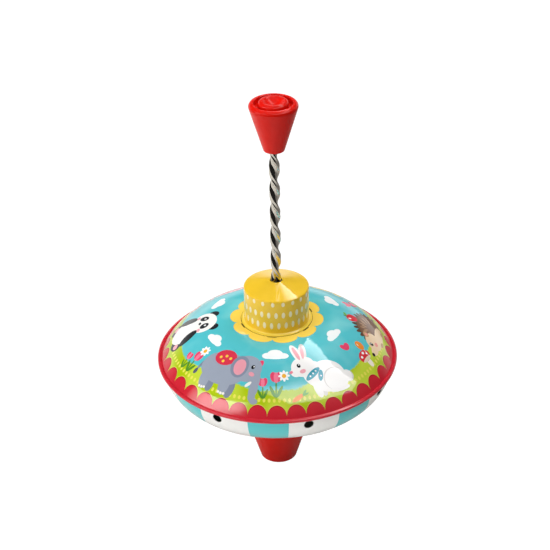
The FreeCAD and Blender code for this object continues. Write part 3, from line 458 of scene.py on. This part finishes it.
# Litho-printed tinplate: thin flat inks under a stoved clear varnish, which gives a hard, glassy gloss that
# is never quite level. The sheet under the ink keeps a faint pressing wave.
tinplate = {"IOR": 1.5, "Specular IOR Level": 0.1, "Coat Weight": 1.0, "Coat Roughness": 0.05,
            "Coat IOR": 1.5}
varnish = {"grain": (16, 16, 16), "roughness": (0.3, 0.45), "relief": 0.03, "strength": (0.965, 1.0),
           "onto": ("Normal", "Coat Normal")}

for name, piece, draw in (("printed_tin_dome", "top_shell", printDome),
                          ("printed_tin_bowl", "bottom_shell", printBowl),
                          ("printed_tin_collar", "collar", printCollar)):
    material, tree, shader = newMaterial(name, **tinplate)
    finish(tree, shader, varnish, draw(tree))
    dress(material, piece)
    print(piece, "printed:", len(tree.nodes), "nodes")

# Every other material: what is made of it, what its shader is given and how its surface looks.
metal = {"Metallic": 1.0}
stock = {
    # injection-moulded polypropylene, dyed through: an even, saturated red with a soft sheen from a finely
    # spark-eroded mould, and barely visible flow marks
    "moulded_polypropylene": {
        "pieces": ("knob_body", "knob_cap", "foot_cone"),
        "shader": {"IOR": 1.49, "Specular IOR Level": 0.2},
        "colors": ("#E2190D", "#DC160B"), "grain": (5, 5, 9), "roughness": (0.19, 0.24), "relief": 0.006},
    # cold-drawn flat bar, twisted and polished bright: mirror streaks with a few hairlines along it
    "polished_steel": {
        "pieces": ("spiral_rod",),
        "shader": metal,
        "colors": ("#DCD8D0", "#CFCBC3"), "grain": (0.5, 0.5, 9), "roughness": (0.04, 0.1), "relief": 0.0},
    # welded tube, drawn over a mandrel and zinc plated: satin, with draw lines along Z
    "drawn_zinc_steel": {
        "pieces": ("centre_tube",),
        "shader": metal,
        "colors": ("#B9BDC0", "#A2A7AC"), "grain": (0.4, 0.4, 14), "roughness": (0.22, 0.36),
        "relief": 0.01},
    # stamped and turned small steel, barrel plated with zinc: pale blue-grey, cloudy, softly glossy
    "zinc_plated_steel": {
        "pieces": ("tube_plug", "foot_screw", "keeper_washer", "keeper_clip", "slot_plate",
                   "slot_plate_screws", "rod_stop", "knob_washer", "knob_nut"),
        "shader": metal,
        "colors": ("#C3C8CC", "#9CA3AB"), "grain": (2.2, 2.2, 2.2), "roughness": (0.22, 0.42),
        "relief": 0.012},
    # bare tinplate: rolled, with fine lines along X and duller patches where the tin flowed
    "bare_tinplate": {
        "pieces": ("bridge_plate", "reed_plate"),
        "shader": metal,
        "colors": ("#D2D1CC", "#B4B3AE"), "grain": (18, 0.5, 6), "roughness": (0.16, 0.34), "relief": 0.008},
    # half-hard spring brass strip: warm yellow, tarnished brown in spots
    "spring_brass": {
        "pieces": ("reeds",),
        "shader": metal,
        "colors": ("#DDB765", "#B78A42"), "grain": (3, 3, 3), "roughness": (0.18, 0.34), "relief": 0.006},
    # soft aluminium rivets: matt silver, dented a little by the setting tool
    "rivet_aluminium": {
        "pieces": ("reed_rivets", "plate_rivets", "clutch_rivets"),
        "shader": metal,
        "colors": ("#DADBDD", "#BFC1C4"), "grain": (0.8, 0.8, 0.8), "roughness": (0.28, 0.45),
        "relief": 0.02},
    # natural nylon, moulded: ivory and slightly clouded, light sinks a little way into it
    "natural_nylon": {
        "pieces": ("thrust_washer", "upper_bush", "lower_bush", "clutch_ring", "drive_nut"),
        "shader": {"IOR": 1.53, "Subsurface Weight": 0.15, "Subsurface Radius": (0.002, 0.0016, 0.001),
                   "Subsurface Scale": 1.0},
        "colors": ("#EAE4D4", "#DCD4BF"), "grain": (3.5, 3.5, 3.5), "roughness": (0.4, 0.55),
        "relief": 0.015},
}
for name, look in stock.items():
    material, tree, shader = newMaterial(name, **look["shader"])
    finish(tree, shader, look)
    dress(material, *look["pieces"])
print("all pieces dressed")

view = {"place": (0, -1.10466, 0.82877), "turn": (59.190, 0.8214, -0.4465), "lens": 108.81, "sensor": 36}

camera = bpy.data.objects.new("camera", bpy.data.cameras.new("camera"))
bpy.context.scene.collection.objects.link(camera)
bpy.context.scene.camera = camera
camera.location = view["place"]
camera.rotation_euler = Euler([math.radians(a) for a in view["turn"]])
camera.data.lens = view["lens"]
camera.data.sensor_width = view["sensor"]

# The floor to look at is a sheet of white paper that burns out.
paper = {"Base Color": grey(0.15), "Roughness": 1.0, "Specular IOR Level": 0.0, "Emission Color": grey(1),
         "Emission Strength": 1.0}
bpy.ops.mesh.primitive_plane_add(size=24)
floor = bpy.context.object
floor.name = "floor"
floor.data.materials.append(newMaterial("white_paper", **paper)[0])
floor.visible_glossy = floor.visible_diffuse = False

# What the toy mirrors and is lit by instead: a grey table top that starts in front of it and darkens to the
# right, from one share of its width to another.
tableTop = {"middle": (0, 0.6, 0.0001), "size": (3, 2.2, 1), "darkens": (-0.02, 0.12),
            "left": (0.74, 0.72, 0.68, 1), "right": (0.2, 0.19, 0.18, 1)}
bpy.ops.mesh.primitive_plane_add(size=1, location=tableTop["middle"])
table = bpy.context.object
table.name = "table"
table.scale = tableTop["size"]
material, tree, shader = newMaterial("grey_table", **{"Roughness": 1.0, "Specular IOR Level": 0.0})
along = remap(tree, axesOf(tree, "Object")[0], *tableTop["darkens"])
tree.links.new(mixColors(tree, along, tableTop["left"], tableTop["right"]), shader.inputs["Base Color"])
table.data.materials.append(material)
table.visible_camera = table.visible_shadow = False

# Windows and lamps. A window is a luminous sheet that only shows in reflections, bent, and shaded as thin
# curtains shade it. A lamp lights the toy and isn't mirrored itself.
bodyMiddle = (0, 0, 0.12)
ceiling = 1.2

curtain = bpy.data.materials.new("lit_curtain")
curtain.use_nodes = True
curtain.node_tree.nodes.clear()
shade = addNode(curtain.node_tree, "ShaderNodeAttribute", attribute_name="glow")
lit = addNode(curtain.node_tree, "ShaderNodeEmission", {"Strength": shade.outputs["Fac"]})
addNode(curtain.node_tree, "ShaderNodeOutputMaterial", {"Surface": lit.outputs[0]})


def lightSheet(name, rows):
    # each row of points is (x, y, z, glow)
    bpy.ops.mesh.primitive_grid_add(x_subdivisions=len(rows[0]) - 1, y_subdivisions=len(rows) - 1)
    sheet = bpy.context.object
    sheet.name = name
    points = [point for row in rows for point in row]
    glow = sheet.data.attributes.new("glow", "FLOAT", "POINT")
    for i, (x, y, z, strength) in enumerate(points):
        sheet.data.vertices[i].co = (x, y, z)
        glow.data[i].value = strength
    sheet.data.materials.append(curtain)
    sheet.visible_camera = sheet.visible_diffuse = sheet.visible_shadow = False


def overhead(*rows):
    return [[(x, y, ceiling, glow) for x, y, glow in row] for row in rows]


def towards(azimuth, elevation, glow, reach=1.5):
    # a point of a sheet in a direction from the middle of the body
    a, e = math.radians(azimuth), math.radians(elevation)
    out = reach * math.cos(e)
    return (out * math.cos(a), out * math.sin(a), bodyMiddle[2] + reach * math.sin(e), glow)


# a window high on the right, brightest along its far edge, that bends round to the front
lightSheet("window", overhead(
    [(-0.2, 1.5, 0), (-0.1, 1.5, 4), (0.0, 1.5, 6), (0.08, 1.5, 9)],
    [(-0.05, 1.0, 0), (0.06, 1.0, 5), (0.16, 1.0, 6), (0.23, 1.0, 9)],
    [(0.15, 0.45, 0), (0.25, 0.45, 3), (0.35, 0.45, 6), (0.49, 0.45, 9)],
    [(0.35, 0.15, 1), (0.45, 0.15, 4), (0.57, 0.15, 6), (0.75, 0.15, 9)],
    [(0.55, -0.05, 4), (0.7, -0.02, 5), (0.85, 0.0, 6), (1.2, 0.0, 8)],
    [(0.9, -0.2, 4), (1.2, -0.1, 5), (1.5, -0.05, 6), (1.9, 0.0, 7)]))
lightSheet("windowFront", overhead(
    [(-0.4, -0.55, 0), (-0.35, -0.6, 0), (-0.3, -0.65, 0)],
    [(-0.1, -0.43, 0), (-0.05, -0.6, 5), (-0.03, -0.8, 5)],
    [(0.25, -0.35, 0.5), (0.25, -0.6, 6), (0.25, -1.0, 6)],
    [(0.55, -0.05, 4), (0.75, -0.4, 6), (0.9, -0.85, 5)],
    [(1.9, 0.0, 7), (1.9, -0.2, 5), (1.9, -0.4, 3)]))
# a tall curtained window on the left, dim along its sill: direction, lower and upper elevation, glow
leftWindow = [(178, 12, 26, 0), (184, 14, 28, 3), (195, 17, 31, 7), (210, 24, 36, 7.5), (225, 29, 41, 7),
              (232, 31, 43.5, 5), (240, 33, 45, 0)]
sill = {"height": 4, "dimmed": 0.3}
lightSheet("leftWindow", [
    [towards(a, low, sill["dimmed"] * glow), towards(a, low + sill["height"], glow), towards(a, high, glow)]
    for a, low, high, glow in leftWindow])


def softBox(name, start, end, width, glow, aim=bodyMiddle):
    # a lamp whose long axis runs from start to end, turned to face a point
    lamp = bpy.data.lights.new(name, "AREA")
    start, end = Vector(start), Vector(end)
    long = (end - start).length
    lamp.shape = "RECTANGLE"
    lamp.size, lamp.size_y = long, width
    lamp.energy = glow * math.pi * long * width
    box = bpy.data.objects.new(name, lamp)
    bpy.context.scene.collection.objects.link(box)
    box.location = (start + end) / 2
    x = (end - start).normalized()
    y = (box.location - Vector(aim)).cross(x).normalized()
    box.rotation_euler = Matrix((x, y, x.cross(y))).transposed().to_euler()
    box.visible_glossy = box.visible_camera = False


softBox("top", (-1.3, 0.2, 2.1), (1.4, 0.2, 2.1), 2.4, 2.2)
softBox("backRight", (1.0, 1.9, 0.9), (1.8, 0.9, 0.9), 0.8, 5.2)
softBox("leftFront", (-1.8, -1.1, 1.1), (-0.6, -2.1, 1.1), 0.8, 4.1)
softBox("left", (-2, 0.8, 0.9), (-2, -0.8, 0.9), 0.8, 5.0)
# light that the white paper in front throws up at the bowl
softBox("paper", (-0.25, -0.35, 0.003), (0.45, -0.3, 0.003), 0.4, 0.95, (0.1, -0.33, 1))

# The room is white to look at. As a light it is nearly black, with a white wall low behind the toy.
room = {"dark": grey(0.02), "white": grey(1), "wallStart": 0.4, "wallFull": 0.75, "wallTop": 0.3,
        "wallFullTop": 0.1}
world = bpy.data.worlds.new("studio")
bpy.context.scene.world = world
world.use_nodes = True
tree = world.node_tree
axes = axesOf(tree, "Generated")
wall = calc(tree, "MULTIPLY", remap(tree, axes[1], room["wallStart"], room["wallFull"]),
            remap(tree, axes[2], room["wallTop"], room["wallFullTop"]))
ray = addNode(tree, "ShaderNodeLightPath")
white = calc(tree, "MAXIMUM", wall, ray.outputs["Is Camera Ray"])
light = mixColors(tree, white, room["dark"], room["white"])
tree.links.new(light, tree.nodes["Background"].inputs[0])

bpy.context.scene.view_settings.view_transform = "Standard"
print("studio lit")
